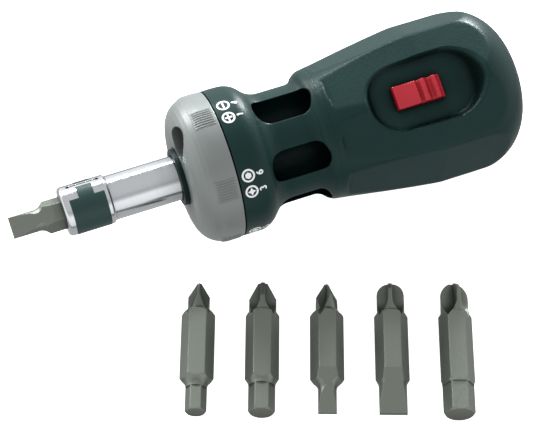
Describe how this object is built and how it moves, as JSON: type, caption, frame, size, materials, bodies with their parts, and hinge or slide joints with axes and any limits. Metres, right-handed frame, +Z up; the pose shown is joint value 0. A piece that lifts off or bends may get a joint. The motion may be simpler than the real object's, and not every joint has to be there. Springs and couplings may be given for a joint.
{
  "type": "ratcheting screwdriver",
  "caption": "Stubby reversible ratcheting screwdriver whose eight-sided grip stores double-ended hexagon bits behind a turning cap, shown with its bits laid out beside it.",
  "frame": {"origin": "middle of the grip's flat that the driver lies on, at floor level under its axis", "axes": "+X along the driver's axis toward the butt, +Z up, -Y toward the loose bits"},
  "size_m": [0.1164, 0.0864, 0.0344],
  "materials": {
    "handle_plastic": "fine matt",
    "cap_plastic": "satin",
    "clip_plastic": "satin",
    "chrome": "mirror",
    "tool_steel": "satin",
    "steel": "satin",
    "bronze": "satin",
    "zinc": "as cast",
    "switch_plastic": "semi-gloss"
  },
  "bodies": {
    "handle": {"grip_shell": "handle_plastic", "magazine_body": "handle_plastic", "cap_retaining_ring": "clip_plastic", "cap_detent_ball": "steel", "cap_detent_spring": "steel", "front_bush": "bronze", "rear_bush": "bronze", "ratchet_housing": "zinc", "housing_cover": "zinc", "cover_screws": "steel", "pawl_pin": "steel", "selector_detent_ball": "steel", "selector_detent_spring": "steel"},
    "cap": {"dispensing_cap": "cap_plastic"},
    "spindle": {"shaft": "chrome", "bit_clip": "clip_plastic", "bit_magnet": "steel", "ratchet_gear": "steel", "front_thrust_washer": "bronze", "rear_thrust_washer": "bronze", "shaft_circlip": "steel"},
    "pawl": {"rocker_pawl": "steel"},
    "selector": {"selector_switch": "switch_plastic", "selector_carriage": "zinc", "pawl_spring": "steel"},
    "fitted_bit": {"drive_bit": "tool_steel"},
    "loose_cross_1_hex_4": {"bit_cross_1_hex_4": "tool_steel"},
    "loose_cross_2_hex_5": {"bit_cross_2_hex_5": "tool_steel"},
    "loose_cross_1_slot_4": {"bit_cross_1_slot_4": "tool_steel"},
    "loose_cross_2_slot_6": {"bit_cross_2_slot_6": "tool_steel"},
    "loose_cross_3_hex_6": {"bit_cross_3_hex_6": "tool_steel"}
  },
  "joints": [
    {"name": "spindle_spin", "type": "hinge", "parent": "handle", "child": "spindle", "pos_m": [0, 0, 0.0172], "axis": [1, 0, 0], "continuous": true},
    {"name": "cap_turn", "type": "hinge", "parent": "handle", "child": "cap", "pos_m": [0, 0, 0.0172], "axis": [1, 0, 0], "continuous": true},
    {"name": "selector_slide", "type": "slide", "parent": "handle", "child": "selector", "axis": [1, 0, 0], "range_m": [-0.002, 0.002]},
    {"name": "pawl_rock", "type": "hinge", "parent": "handle", "child": "pawl", "pos_m": [0, -0.00316, 0.02482], "axis": [1, 0, 0], "range_deg": [-7, 7]},
    {"name": "bit_pull", "type": "slide", "parent": "spindle", "child": "fitted_bit", "axis": [-1, 0, 0], "range_m": [0, 0.03]},
    {"name": "cross_1_hex_4_lift", "type": "slide", "parent": "handle", "child": "loose_cross_1_hex_4", "axis": [0, 0, 1], "range_m": [0, 0.05]},
    {"name": "cross_2_hex_5_lift", "type": "slide", "parent": "handle", "child": "loose_cross_2_hex_5", "axis": [0, 0, 1], "range_m": [0, 0.05]},
    {"name": "cross_1_slot_4_lift", "type": "slide", "parent": "handle", "child": "loose_cross_1_slot_4", "axis": [0, 0, 1], "range_m": [0, 0.05]},
    {"name": "cross_2_slot_6_lift", "type": "slide", "parent": "handle", "child": "loose_cross_2_slot_6", "axis": [0, 0, 1], "range_m": [0, 0.05]},
    {"name": "cross_3_hex_6_lift", "type": "slide", "parent": "handle", "child": "loose_cross_3_hex_6", "axis": [0, 0, 1], "range_m": [0, 0.05]}
  ],
  "couplings": [
    {"joint": "pawl_rock", "follows": "selector_slide", "rad_per_m": 61.086}
  ]
}
